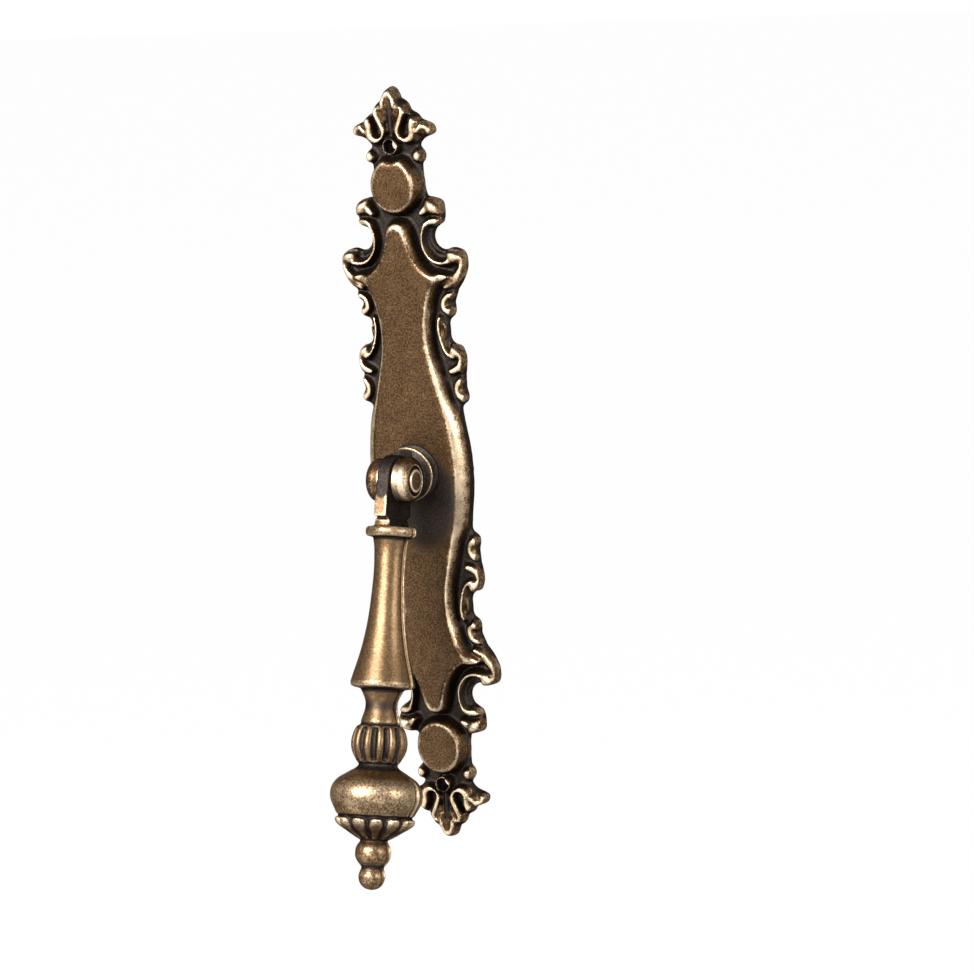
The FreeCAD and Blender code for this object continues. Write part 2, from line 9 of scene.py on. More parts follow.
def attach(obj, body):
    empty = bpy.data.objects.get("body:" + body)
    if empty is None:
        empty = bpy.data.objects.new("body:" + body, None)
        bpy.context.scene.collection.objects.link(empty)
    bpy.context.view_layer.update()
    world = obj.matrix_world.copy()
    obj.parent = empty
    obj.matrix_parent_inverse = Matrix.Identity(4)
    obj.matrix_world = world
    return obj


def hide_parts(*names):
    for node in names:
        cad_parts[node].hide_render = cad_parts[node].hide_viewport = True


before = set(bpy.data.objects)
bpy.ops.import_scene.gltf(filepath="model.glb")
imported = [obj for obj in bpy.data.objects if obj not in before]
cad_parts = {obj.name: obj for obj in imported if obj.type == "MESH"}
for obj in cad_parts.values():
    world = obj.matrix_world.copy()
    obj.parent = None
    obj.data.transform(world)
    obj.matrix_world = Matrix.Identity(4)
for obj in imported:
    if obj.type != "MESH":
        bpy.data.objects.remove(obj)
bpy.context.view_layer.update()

# Backplate: one bronze casting with scrollwork, a raised field and an oval panel at each end.
# It is blackened all over and then rubbed back, so bright metal shows on whatever stands proud.
# Two screws through the small holes hold it to the drawer front.
MM = 0.001
MERGE = 0.002 * MM


def solid_of(node):
    """A copy of the closed shell of a node of the frame."""
    solid = bmesh.new()
    solid.from_mesh(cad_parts[node].data)
    bmesh.ops.remove_doubles(solid, verts=solid.verts, dist=MERGE)
    return solid


# The front is worked as a map of heights over the plate's plan, in millimetres.
CELL = 0.12
HALF_PLAN = (14.4, 76.32)
PROBE_HEIGHT = 20
GROUND = 1.0
OUTSIDE = -1.7
plan_x = np.arange(-HALF_PLAN[0], HALF_PLAN[0] + CELL / 2, CELL)
plan_z = np.arange(-HALF_PLAN[1], HALF_PLAN[1] + CELL / 2, CELL)
grid_x, grid_z = np.meshgrid(plan_x, plan_z, indexing="ij")
solid = solid_of("backplate")
plate_faces = BVHTree.FromBMesh(solid)
solid.free()
relief = np.full(grid_x.shape, OUTSIDE)
for i, x in enumerate(plan_x):
    for j, z in enumerate(plan_z):
        probe = Vector((x * MM, -PROBE_HEIGHT * MM, z * MM))
        hit = plate_faces.ray_cast(probe, Vector((0, 1, 0)))[0]
        if hit:
            relief[i, j] = -hit.y / MM


def blurred(heights, reach):
    """Heights averaged over a reach in millimetres."""
    span = int(3 * reach / CELL) + 1
    weights = np.exp(-0.5 * (np.arange(-span, span + 1) * CELL / reach) ** 2)
    weights /= weights.sum()
    for axis in (0, 1):
        padded = np.pad(heights, [(span, span) if k == axis else (0, 0) for k in (0, 1)], mode="edge")
        length = heights.shape[axis]
        heights = sum(w * np.take(padded, np.arange(length) + k, axis) for k, w in enumerate(weights))
    return heights


def fattened(heights, reach, fall):
    """Each place takes the height of those within reach, less a fall that grows as they lie further off."""
    span = int(reach / CELL)
    rows, columns = heights.shape
    wide = np.pad(heights, span, mode="edge")
    for i in range(-span, span + 1):
        for j in range(-span, span + 1):
            off = math.hypot(i, j) * CELL
            if off <= reach:
                near = wide[span + i:span + i + rows, span + j:span + j + columns]
                heights = np.maximum(heights, near - fall * off ** 2)
    return heights


def read_map(heights, x, z):
    """Heights of a map at given places of the plan."""
    u = np.clip((x - plan_x[0]) / CELL, 0, len(plan_x) - 1.001)
    v = np.clip((z - plan_z[0]) / CELL, 0, len(plan_z) - 1.001)
    i = u.astype(int)
    j = v.astype(int)
    u = u - i
    v = v - j
    return (heights[i, j] * (1 - u) * (1 - v) + heights[i + 1, j] * u * (1 - v)
            + heights[i, j + 1] * (1 - u) * v + heights[i + 1, j + 1] * u * v)


def eased(values, low, high):
    """Smooth step from 0 to 1 as the values go from low to high."""
    t = np.clip((values - low) / (high - low), 0, 1)
    return t * t * (3 - 2 * t)


def within(values, span):
    """Where the values lie inside a span."""
    return (values > span[0]) & (values < span[1])


def soft_mask(places, edge):
    """1 in the given places and 0 elsewhere, with a soft edge between."""
    return blurred(places * 1.0, edge)


# The field and the ovals are the broad parts, and their edges are rounded more than the ornament.
FIELD_LEVEL = 3.4
RIDGE_WIDTH = 0.9
BROAD_MARGIN = 1.0
FIELD_ROUNDING = 0.38
CAST_ROUNDING = 0.17
broad = eased(soft_mask(relief > FIELD_LEVEL, RIDGE_WIDTH), 0.72, 0.8)
broad = eased(blurred(broad, BROAD_MARGIN), 0.02, 0.3)

# The four quarters of the plate are alike, so places are given across and along one of them.
SCREW_PLACE = 64
SCREW_BOSS = 2.7
HOLE_RIM = 1.6
RIVET_HOLE = 4
RIM_WIDTH = 0.7
C_MIDDLE = (9.2, 46.1)
C_RIM = 5.4
C_RIM_TOP = 48.4
C_RIM_OUTSIDE = 10.3
GUTTER = 4.0
GUTTER_SPAN = (43.0, 47.9)
BAY_SPAN = (25.3, 29.8)
SIDE_RIM_OUTSIDE = 9
SIDE_RIM_SPAN = (22.2, 31)
OVAL_SPAN = (53.9, 60.9)
OVAL_MASK_EDGE = 0.3
MASK_EDGE = 0.25
folded_x = np.abs(grid_x)
folded_z = np.abs(grid_z)
from_hole = np.hypot(grid_x, folded_z - SCREW_PLACE)
from_c = np.hypot(folded_x - C_MIDDLE[0], folded_z - C_MIDDLE[1])
plated = (relief > GROUND / 2) | (from_hole < HOLE_RIM) | (np.hypot(grid_x, grid_z) < RIVET_HOLE)
at_rim = np.clip(2 - 2 * soft_mask(plated, RIM_WIDTH), 0, 1)
in_gutter = soft_mask((from_c < GUTTER) & within(folded_z, GUTTER_SPAN), MASK_EDGE)
in_bay = np.maximum(in_gutter, soft_mask(within(folded_z, BAY_SPAN), MASK_EDGE))
c_rim = (from_c < C_RIM) & (folded_z < C_RIM_TOP) & (folded_x < C_RIM_OUTSIDE)
side_rim = (folded_x < SIDE_RIM_OUTSIDE) & within(folded_z, SIDE_RIM_SPAN)
beside_oval = within(folded_z, OVAL_SPAN)
thin = soft_mask(c_rim | side_rim | beside_oval | (from_hole < SCREW_BOSS), MASK_EDGE)

# The ornament is fuller than its drawn ridges, and its outer flanks run down to the outline.
# Each shell of the scrolls has its place, half width, half length and top.
SHELLS = [(7.75, 52.1, 2.2, 1.7, 3.5), (11.45, 42.45, 1.7, 1.5, 3.4), (10.15, 23.55, 1.4, 1.3, 3.0)]
FULLER_REACH = 0.4
FULLER_FALL = 3.5
FLANK_REACH = 0.75
FLANK_FALL = 2.0
for middle_x, middle_z, half_width, half_length, top in SHELLS:
    out = ((folded_x - middle_x) / half_width) ** 2 + ((folded_z - middle_z) / half_length) ** 2
    shell = GROUND + (top - GROUND) * np.sqrt(np.clip(1 - out, 0, 1))
    relief = np.where(plated & (out < 1), np.maximum(relief, shell), relief)
fuller = fattened(relief, FULLER_REACH, FULLER_FALL)
relief += np.where(plated, (fuller - relief) * (1 - thin) * (1 - broad), 0)
flank = fattened(relief, FLANK_REACH, FLANK_FALL)
by_outline = eased(at_rim, 0.1, 0.5) * (1 - in_bay) * (1 - broad)
by_outline *= 1 - soft_mask(beside_oval, OVAL_MASK_EDGE)
relief += np.where(plated, (flank - relief) * by_outline, 0)

# A curved gap parts each upper shell from its C, and the ornament is bevelled towards the outline.
GAP_MIDDLE = (7.6, 47.6)
GAP_RADIUS = 2.65
GAP_START = 49.4
GAP_FLOOR = 1.3
BEVEL_RISE = 2.6
BEVEL_CURVE = 0.6
from_gap = np.abs(np.hypot(folded_x - GAP_MIDDLE[0], folded_z - GAP_MIDDLE[1]) - GAP_RADIUS)
gap = eased(from_gap, 0.45, 0.15) * (folded_z > GAP_START)
relief += np.where(plated, (GAP_FLOOR - relief) * gap * (relief > GAP_FLOOR), 0)
bevel = GROUND + BEVEL_RISE * (1 - at_rim) ** BEVEL_CURVE
relief -= np.where(plated, np.maximum(relief - bevel, 0) * (1 - broad), 0)
lobe = at_rim * eased(flank, 1.5, 2.3) * (1 - in_bay)
# Painted glint: a thin bright line along the outline's edge in each gutter, on the part nearer the middle
# of the plate.
lip_glint_mask = in_gutter * eased(at_rim, 0.45, 0.65) * eased(folded_z, 47.5, 44.5)

# All edges are rounded, and the screw holes narrow a little towards the back.
HOLE_MOUTH = 1.3
HOLE_THROAT = 1.0
HOLE_STEEPNESS = 20
HOLE_ROUNDING = 0.08
standing = np.maximum(relief, GROUND)
funnel = np.maximum(OUTSIDE, OUTSIDE + (from_hole - HOLE_THROAT) * HOLE_STEEPNESS)
bored = np.where(from_hole < HOLE_MOUTH, funnel, relief)
by_hole = eased(from_hole, 1.8, 1.5)
relief = blurred(relief, CAST_ROUNDING) * (1 - by_hole) + blurred(bored, HOLE_ROUNDING) * by_hole
relief += (blurred(standing, FIELD_ROUNDING) - blurred(standing, CAST_ROUNDING)) * broad

# What stands above its near or its wider surroundings is rubbed, and what lies below stays black.
NEAR_AROUND = 0.8
WIDE_AROUND = 2.0
standing = np.maximum(relief, GROUND)
proud = standing - blurred(standing, NEAR_AROUND)
proud_wide = standing - blurred(standing, WIDE_AROUND)

# The map becomes the front of a closed block and the block gets an even skin of small faces.
# The skin is cut off behind the front and closed flat.
PLATE_SKIN = 0.25 * MM
BLOCK_BACK = 3.0 * MM
BACK_CUT = 0.3 * MM
FINE_MERGE = 0.001 * MM


def pull_rims(shell, level):
    """Draws the open rims of a shell straight back to a level, and gives the new edges."""
    rims = [edge for edge in shell.edges if edge.is_boundary]
    drawn = bmesh.ops.extrude_edge_only(shell, edges=rims)["geom"]
    for vert in [part for part in drawn if isinstance(part, bmesh.types.BMVert)]:
        vert.co.y = level
    return [part for part in drawn if isinstance(part, bmesh.types.BMEdge)]


def skin_of(name, solid, size):
    """New object whose mesh is an even skin of small faces over the given closed shells."""
    mesh = bpy.data.meshes.new(name)
    solid.to_mesh(mesh)
    solid.free()
    piece = bpy.data.objects.new(name, mesh)
    bpy.context.scene.collection.objects.link(piece)
    skin = piece.modifiers.new("skin", "REMESH")
    skin.mode = "VOXEL"
    skin.voxel_size = size
    graph = bpy.context.evaluated_depsgraph_get()
    piece.data = bpy.data.meshes.new_from_object(piece.evaluated_get(graph))
    piece.modifiers.clear()
    return piece


def soften(piece, passes):
    """Rounds the corners of a skin, as the mould and the polishing do."""
    skin = bmesh.new()
    skin.from_mesh(piece.data)
    for _ in range(passes):
        bmesh.ops.smooth_vert(skin, verts=skin.verts, factor=0.5,
                              use_axis_x=True, use_axis_y=True, use_axis_z=True)
    skin.to_mesh(piece.data)
    skin.free()


block = bmesh.new()
bmesh.ops.create_grid(block, x_segments=len(plan_x) - 1, y_segments=len(plan_z) - 1, size=1)
front = bpy.data.meshes.new("plate_front")
block.to_mesh(front)
places = np.empty(3 * len(front.vertices))
front.vertices.foreach_get("co", places)
places = places.reshape(-1, 3)
x = places[:, 0] * HALF_PLAN[0]
z = places[:, 1] * HALF_PLAN[1]
front.vertices.foreach_set("co", (np.stack([x, -read_map(relief, x, z), z], 1) * MM).ravel())
block.clear()
block.from_mesh(front)
pull_rims(block, BLOCK_BACK)
bmesh.ops.holes_fill(block, edges=[edge for edge in block.edges if edge.is_boundary], sides=0)
bmesh.ops.recalc_face_normals(block, faces=block.faces)
plate = skin_of("cast_backplate", block, PLATE_SKIN)
soften(plate, 1)
skin = bmesh.new()
skin.from_mesh(plate.data)
bmesh.ops.bisect_plane(skin, geom=skin.verts[:] + skin.edges[:] + skin.faces[:], dist=FINE_MERGE,
                       plane_co=(0, -BACK_CUT, 0), plane_no=(0, 1, 0), clear_outer=True)
back_rims = pull_rims(skin, 0)
bmesh.ops.triangle_fill(skin, use_beauty=True, edges=back_rims, normal=(0, 1, 0))
bmesh.ops.recalc_face_normals(skin, faces=skin.faces)
skin.to_mesh(plate.data)
skin.free()


def points_of(piece):
    """Points of a skin, in millimetres."""
    points = np.empty(3 * len(piece.data.vertices))
    piece.data.vertices.foreach_get("co", points)
    return points.reshape(-1, 3) / MM


def normals_of(piece):
    """Directions that the points of a skin face."""
    normals = np.empty(3 * len(piece.data.vertices), np.float32)
    piece.data.vertex_normals.foreach_get("vector", normals)
    return normals.reshape(-1, 3)


def note(piece, name, values):
    """Keeps a value for each point of a skin, for its finish to read."""
    kept = piece.data.attributes.new(name, "FLOAT", "POINT")
    kept.data.foreach_set("value", np.asarray(values, np.float32))


# Black patina stays low down, in hollows, in the gutters, along the vein and in the notches of each crest,
# and the screw holes are black inside and at their mouths.
# The field round the post is darkened partly by patina and partly by painted shadow of the post and drop,
# heaviest below and right of the post.
CREST_NOTCHES = [(2.35, 72.3), (4.9, 70.0)]
POST_SHADOW_AND_PATINA = (1.5, -5.5)
BACK_GRIME = 0.5
BACK_DEPTH = 0.01
x, y, z = points_of(plate).T
height = -y
across = np.abs(x)
along = np.abs(z)
from_screw = np.hypot(x, along - SCREW_PLACE)
stands = read_map(proud, x, z)
stands_wide = read_map(proud_wide, x, z)
plain = read_map(broad, x, z)
edge = read_map(lobe, x, z)
lip_glint = read_map(lip_glint_mask, x, z) * eased(height, 0.6, 0.9)
facing = eased(-normals_of(plate)[:, 1], 0.4, 0.8)
on_flank = edge * (1 - facing)
vein = eased(across, 0.9, 0.6) * eased(along, 64.6, 65.6) * eased(along, 72.0, 71.0)
notch = sum(eased(np.hypot(across - out, along - up), 0.95, 0.4) for out, up in CREST_NOTCHES)
# Painted shadow of the post and drop, with patina: a dark halo centred below and right of the post.
post_shadow_and_patina = eased(np.hypot(x - POST_SHADOW_AND_PATINA[0], 0.75 * (z - POST_SHADOW_AND_PATINA[1])), 10.5, 5.0)
grime_and_shade = eased(height, 1.8, 1.1) * (1 - 0.9 * edge)
grime_and_shade += 0.8 * eased(-stands, 0.05, 0.6) + 0.3 * eased(-stands_wide, 0.1, 0.9)
grime_and_shade += 1.2 * read_map(in_gutter, x, z) * eased(height, 3.4, 3.0) - 2 * lip_glint
grime_and_shade *= 1 - 0.85 * on_flank
grime_and_shade += 1.5 * eased(from_screw, 1.5, 1.25) + 0.85 * post_shadow_and_patina + 0.7 * vein + 0.9 * notch

# Bright rubbed metal shows on the ridges, on the edges of the field and on the flanks of the lobes. The
# side slopes of the field carry rubbed wear with a painted highlight, brightest towards the middle of the
# plate, and the gutter lips carry a painted glint.
slope = eased(np.abs(normals_of(plate)[:, 0]), 0.2, 0.6) * eased(along, 37, 32) * eased(height, 1.9, 3.4)
in_crest = eased(along, 64.6, 65.2)
on_oval = eased(along, 52.5, 53.5) * plain
ridge = eased(stands + 0.1 * in_crest, 0.1, 0.7) * eased(height, 1.3, 2.1) * facing
wear_and_highlight = 0.85 * ridge * (1 - 0.45 * plain)
wear_and_highlight += (0.3 + 0.3 * eased(along, 22, 10)) * slope + 0.35 * on_flank + 0.6 * lip_glint
wear_and_highlight += 0.45 * eased(stands_wide, 0.8, 1.6) * plain * (1 - 0.45 * on_oval)
wear_and_highlight -= 0.6 * vein + 0.8 * notch + 0.4 * eased(from_screw, 2.7, 2.3)
on_back = height < BACK_DEPTH
note(plate, "grime_and_shade", np.where(on_back, BACK_GRIME, grime_and_shade))
note(plate, "wear_and_highlight", np.where(on_back, 0, wear_and_highlight))


class Tone:
    """A socket of a finish's nodes. Arithmetic on tones adds the nodes for it."""

    def __init__(self, tree, socket=None):
        self.tree = tree
        self.socket = socket

    def node(self, kind, sockets, output=0, **settings):
        """Adds a node with its settings and the values or links of its sockets."""
        made = self.tree.nodes.new(kind)
        for name, value in settings.items():
            setattr(made, name, value)
        for name, value in sockets.items():
            if isinstance(value, Tone):
                self.tree.links.new(value.socket, made.inputs[name])
            else:
                made.inputs[name].default_value = value
        return Tone(self.tree, made.outputs[output])

    def maths(self, operation, first, second):
        return self.node("ShaderNodeMath", {0: first, 1: second}, operation=operation)

    def __add__(self, other):
        return self.maths("ADD", self, other)

    __radd__ = __add__

    def __sub__(self, other):
        return self.maths("SUBTRACT", self, other)

    def __rsub__(self, other):
        return self.maths("SUBTRACT", other, self)

    def __mul__(self, other):
        return self.maths("MULTIPLY", self, other)

    __rmul__ = __mul__

    def ramp(self, low, high, start=0.0, end=1.0):
        """Eased step from start to end as the tone goes from low to high."""
        return self.node("ShaderNodeMapRange",
                         {"Value": self, "From Min": low, "From Max": high, "To Min": start, "To Max": end},
                         interpolation_type="SMOOTHSTEP")

    def blend(self, first, second):
        """Colour between two others, with this tone as the share of the second."""
        return self.node("ShaderNodeMix", {0: self, 6: first, 7: second}, output=2, data_type="RGBA")


# The blacks serve the patina and the painted shade, and the pale gold serves rubbed wear and painted
# highlights.
PATINA_AND_SHADE_BLACK = (0.010, 0.0078, 0.0068, 1)
FLECKED_PATINA_AND_SHADE = (0.046, 0.036, 0.030, 1)
UMBER = (0.028, 0.015, 0.007, 1)
RUBBED = (0.116, 0.064, 0.027, 1)
BURNISHED_AND_HIGHLIT = (0.62, 0.475, 0.315, 1)
EDGE_TINT = (0.35, 0.30, 0.25, 1)
SPECK_SCALE = 2700.0
CLOUD_SCALE = 420.0
GRAIN_DEPTH = 0.03 * MM
METAL_ROUGHNESS = 0.4
BLACK_ROUGHNESS = 0.55
LACQUER = 0.12
LACQUER_ROUGHNESS = 0.3
PLATE_PATCHES = 0.6
BACK_FACING = 0.99


def bronze(name, patches, browns):
    """Antique bronze: black in the hollows and where shade is painted, mottled brown on the flats, pale
    gold where it is worn and where a highlight is painted.
    """
    finish = bpy.data.materials.new(name)
    finish.use_nodes = True
    tree = finish.node_tree
    shader = tree.nodes["Principled BSDF"]
    start = Tone(tree)
    place = start.node("ShaderNodeTexCoord", {}, output="Object")
    grime_and_shade = start.node("ShaderNodeAttribute", {}, output="Fac", attribute_name="grime_and_shade")
    wear_and_highlight = start.node("ShaderNodeAttribute", {}, output="Fac", attribute_name="wear_and_highlight")
    speck = start.node("ShaderNodeTexNoise",
                       {"Vector": place, "Scale": SPECK_SCALE, "Detail": 2.0, "Roughness": 0.6})
    cloud = start.node("ShaderNodeTexNoise",
                       {"Vector": place, "Scale": CLOUD_SCALE, "Detail": 4.0, "Roughness": 0.6})
    mottle = (speck - 0.5) * 2.4 + (cloud - 0.5) * 0.7
    black = (grime_and_shade + mottle * 0.4).ramp(0.25, 0.85)
    worn_and_highlit = (wear_and_highlight + mottle * 0.35 + (cloud - 0.5) * patches).ramp(0.15, 1.0)
    metal = worn_and_highlit.blend(mottle.ramp(-0.5, 0.6).blend(*browns), BURNISHED_AND_HIGHLIT)
    patina_and_shade = mottle.ramp(-0.8, 1.2).blend(PATINA_AND_SHADE_BLACK, FLECKED_PATINA_AND_SHADE)
    bump = start.node("ShaderNodeBump", {"Height": speck, "Strength": 0.5, "Distance": GRAIN_DEPTH})
    tree.links.new(black.blend(metal, patina_and_shade).socket, shader.inputs["Base Color"])
    tree.links.new(black.ramp(0, 1, METAL_ROUGHNESS, BLACK_ROUGHNESS).socket, shader.inputs["Roughness"])
    tree.links.new(black.ramp(0, 1, LACQUER, 0.0).socket, shader.inputs["Coat Weight"])
    tree.links.new(bump.socket, shader.inputs["Normal"])
    shader.inputs["Metallic"].default_value = 1.0
    shader.inputs["Specular Tint"].default_value = EDGE_TINT
    shader.inputs["Coat Roughness"].default_value = LACQUER_ROUGHNESS
    return finish


def finish_piece(piece, body, node, slot, patches=0.0, browns=(UMBER, RUBBED)):
    """Gives a piece its bronze and its body, and hides the part of the frame that it stands for."""
    piece.data.shade_smooth()
    piece.data.materials.clear()
    piece.data.materials.append(bronze(slot, patches, browns))
    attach(piece, body)
    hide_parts(node)


finish_piece(plate, "mounted", "backplate", "plate_bronze", patches=PLATE_PATCHES)
face_normals = np.empty(3 * len(plate.data.polygons))
plate.data.polygons.foreach_get("normal", face_normals)
plate.data.polygons.foreach_set("use_smooth", face_normals[1::3] < BACK_FACING)

# Pivot post: one bronze casting with a foot, a thin flange and a barrel head slotted for the drop.
# Its shank goes through the middle of the plate and is hammered out behind it.
PIVOT_HEIGHT = 12.65
POST_SKIN = 0.13 * MM
RIVET_END = 0.6
RIVET_GRIME = 0.4


def sunk(piece, passes):
    """How deep each point lies under the smoothed skin, in millimetres, for each count of passes."""
    start = points_of(piece)
    normals = normals_of(piece)
    edges = np.empty(2 * len(piece.data.edges), np.int32)
    piece.data.edges.foreach_get("vertices", edges)
    first, second = edges.reshape(-1, 2).T
    count = len(start)
    share = 0.5 / (np.bincount(first, minlength=count) + np.bincount(second, minlength=count))
    points = start
    depths = []
    for number in range(1, max(passes) + 1):
        sums = [np.bincount(first, points[second, k], count) + np.bincount(second, points[first, k], count)
                for k in range(3)]
        points = points * 0.5 + np.stack(sums, 1) * share[:, None]
        if number in passes:
            depths.append(((points - start) * normals).sum(1))
    return depths


post = skin_of("cast_post", solid_of("pivot_post"), POST_SKIN)
soften(post, 2)
near, middle, far = sunk(post, (8, 40, 200))
x, y, z = points_of(post).T
height = -y
across = np.abs(x)
from_pin = np.hypot(z, height - PIVOT_HEIGHT)
in_recess = eased(across, 4.0, 4.1) * eased(from_pin, 3.1, 2.9)
in_slot = eased(across, 1.7, 1.5) * eased(height, 8.0, 8.5)
on_foot = eased(height, 6.8, 6.6)
on_flange = eased(height, 9.6, 8.2) * eased(np.hypot(x, z), 5.25, 5.05)
on_barrel = eased(height, 9.5, 11.5) * eased(from_pin, 3.0, 3.5)
# Painted shade: the left cheek, seen behind the tongue, is darker and less rubbed than the right one.
shaded_left_cheek = eased(x, -1.4, -1.8)
facing = eased(-normals_of(post)[:, 1], 0.25, 0.9)
grime_and_shade = np.clip(middle * 3, -0.5, 1.2) + np.clip(far, -0.3, 0.8)
grime_and_shade += 1.5 * on_foot + 0.9 * in_slot + 1.2 * on_flange + in_recess + 0.3 * shaded_left_cheek
wear_and_highlight = np.clip(-near * 8, 0, 0.9) + np.clip(-middle * 2, -0.3, 0.6)
wear_and_highlight += 0.55 * facing * on_barrel - 0.5 * shaded_left_cheek
note(post, "grime_and_shade", np.where(height < RIVET_END, RIVET_GRIME, grime_and_shade))
note(post, "wear_and_highlight", wear_and_highlight)
finish_piece(post, "mounted", "pivot_post", "post_bronze")

# Pivot pin: a bronze rivet pressed through both cheeks of the post and through the eye of the drop.
# Its ends are hammered over, and the rim of each end is rubbed bright.
PIN_SKIN = 0.1 * MM
pin = skin_of("cast_pin", solid_of("pivot_pin"), PIN_SKIN)
soften(pin, 1)
near, middle = sunk(pin, (8, 40))
y, z = points_of(pin).T[1:]
from_middle = np.hypot(z, -y - PIVOT_HEIGHT)
note(pin, "grime_and_shade", np.clip(middle * 3, -0.5, 1.2))
note(pin, "wear_and_highlight", np.clip(-near * 8, 0, 0.9) + 0.25 + 0.6 * eased(from_middle, 1.7, 1.95))
finish_piece(pin, "mounted", "pivot_pin", "pin_bronze")

# Drop: the swinging handle, one bronze casting from a two-part mould.
# It has a belled shaft, a ribbed ball, a bulb, a cup of petals and two small balls at the end.
# Its flat tongue hangs on the pin between the cheeks of the post.
REST_SWING = 17.1
DROP_SKIN = 0.21 * MM
TURNING_STEPS = 144
PROFILE_STEP = 0.25
TONGUE_END = 9.35
# Stretches of the turned profile, each smooth in itself: radius, and distance from the pin.
COLLAR = [[(0, 9.1), (4.65, 9.1)],
          [(4.65, 9.1), (4.95, 9.5), (4.95, 10.6), (4.65, 11.0)],
          [(4.65, 11.0), (3.5, 11.15)]]
SHAFT = [[(3.5, 11.15), (3.15, 13.5), (3.25, 23), (4.3, 31.5), (6.3, 39.3)]]
BELL_LIP = [[(6.3, 39.3), (6.2, 40.0), (5.6, 40.35)],
            [(5.6, 40.35), (4.2, 40.6)]]
NECK = [[(4.2, 40.6), (3.12, 43.4), (3.85, 47.0)],
        [(3.85, 47.0), (3.6, 47.5)]]
RIBBED_BALL = [[(3.6, 47.5), (4.4, 47.8), (5.3, 49.65), (5.5, 51.1), (5.25, 52.7), (4.25, 54.6)]]
BULB = [[(4.25, 54.6), (3.75, 55.2), (4.0, 55.65), (5.6, 56.7), (8.3, 58.8), (9.0, 61.3), (7.6, 64.85)]]
CUP = [[(7.6, 64.85), (7.05, 65.15), (7.8, 65.7)],
       [(7.8, 65.7), (7.3, 66.7), (5.2, 68.3), (3.3, 69.5)]]
UPPER_BALL = [[(3.3, 69.5), (2.45, 69.75)],
              [(2.45, 69.75), (3.35, 71.15), (3.5, 72.2), (3.3, 73.4), (2.05, 75.0)]]
LOWER_BALL = [[(2.05, 75.0), (2.58, 76.5), (2.6, 76.8), (2.25, 78.1), (1.3, 79.05), (0, 79.4)]]
PROFILE = COLLAR + SHAFT + BELL_LIP + NECK + RIBBED_BALL + BULB + CUP + UPPER_BALL + LOWER_BALL

line = bpy.data.curves.new("drop_profile", "CURVE")
line.dimensions = "3D"
for knots in PROFILE:
    spline = line.splines.new("BEZIER")
    spline.bezier_points.add(len(knots) - 1)
    length = sum(math.dist(a, b) for a, b in zip(knots, knots[1:]))
    spline.resolution_u = max(2, round(length / (len(knots) - 1) / PROFILE_STEP))
    for point, (radius, distance) in zip(spline.bezier_points, knots):
        point.co = (radius * MM, 0, -distance * MM)
        point.handle_left_type = "AUTO"
        point.handle_right_type = "AUTO"
drawn = bpy.data.objects.new("drop_profile", line)
bpy.context.scene.collection.objects.link(drawn)
profile = bpy.data.meshes.new_from_object(drawn.evaluated_get(bpy.context.evaluated_depsgraph_get()))
bpy.data.objects.remove(drawn)
turned = bmesh.new()
turned.from_mesh(profile)
bmesh.ops.remove_doubles(turned, verts=turned.verts, dist=FINE_MERGE)
bmesh.ops.spin(turned, geom=turned.verts[:] + turned.edges[:], cent=(0, 0, 0), axis=(0, 0, 1),
               angle=2 * math.pi, steps=TURNING_STEPS, use_merge=True)
bmesh.ops.remove_doubles(turned, verts=turned.verts, dist=FINE_MERGE)
bmesh.ops.recalc_face_normals(turned, faces=turned.faces)

# Ribs stand round the ball and petals round the cup, and a seam of the mould runs down both sides.
# The bulge of a petal and the seam's ridge and groove are each a swell: height, place and reach.
RIBS = 12
RIB_DEPTH = 0.95
RIB_HALF_WIDTH = 0.34
CUP_RIM = 65.7
PETAL_DEPTH = 1.15
PETAL_TAPER = 0.12
PETAL_LENGTH = 4
PETAL_BULGE = (0.22, 66.6, 0.8)
ARCH_TOP = 65.55
ARCH_LENGTH = 1.3
ARCH_START = 0.27
ARCH_WIDENING = 0.17
ARCH_NARROWING = 0.06
SEAM_RIDGE = (0.32, 0.28, 0.3)
SEAM_GROOVE = (0.38, -0.3, 0.24)
FAINT_SEAM = 0.4


def rib_share(angle):
    """Place across the nearest rib or petal: 0 on its middle, half a rib either way."""
    return (angle * RIBS / (2 * math.pi) + 0.5) % 1 - 0.5


def ridged(share, half_width):
    """Cross-section of a row of round ribs: 0 on a rib's crest, 1 in the groove."""
    return 1 - np.sqrt(np.clip(1 - (share / half_width) ** 2, 0, 1))


def swell(values, height, place, reach):
    """Rounded rise to a height at its place, which fades over its reach."""
    return height * np.exp(-((values - place) / reach) ** 2)


x, y, z = np.array([vert.co for vert in turned.verts]).T / MM
radius = np.hypot(x, y)
round_angle = np.arctan2(x, -y)
distance = -z
share = rib_share(round_angle)
on_ball = eased(distance, 47.7, 48.5) * eased(distance, 54.7, 53.9)
rib_cut = RIB_DEPTH * on_ball * ridged(share, RIB_HALF_WIDTH)
on_cup = eased(distance, 65.2, 65.7) * eased(distance, 69.9, 69.2)
arch = ARCH_START + ARCH_WIDENING * np.sqrt(np.clip((distance - ARCH_TOP) / ARCH_LENGTH, 0, 1))
arch -= ARCH_NARROWING * eased(distance, 67.0, 69.5)
petal_depth = PETAL_DEPTH - PETAL_TAPER * np.clip(distance - CUP_RIM, 0, PETAL_LENGTH)
petal_cut = petal_depth * ridged(share, arch)
bulge = swell(distance, *PETAL_BULGE) * np.cos(math.pi * share) ** 2
from_seam = (np.abs(round_angle) - math.pi / 2) * radius
seam = swell(from_seam, *SEAM_RIDGE) - swell(from_seam, *SEAM_GROOVE)
seam *= eased(distance, 9.0, 9.3) * eased(distance, 79.0, 76.0)
seam *= np.where(on_ball + on_cup > 0.01, FAINT_SEAM, 1)
new_radius = radius - rib_cut - on_cup * (petal_cut - bulge) + np.where(radius > 1, seam, 0)
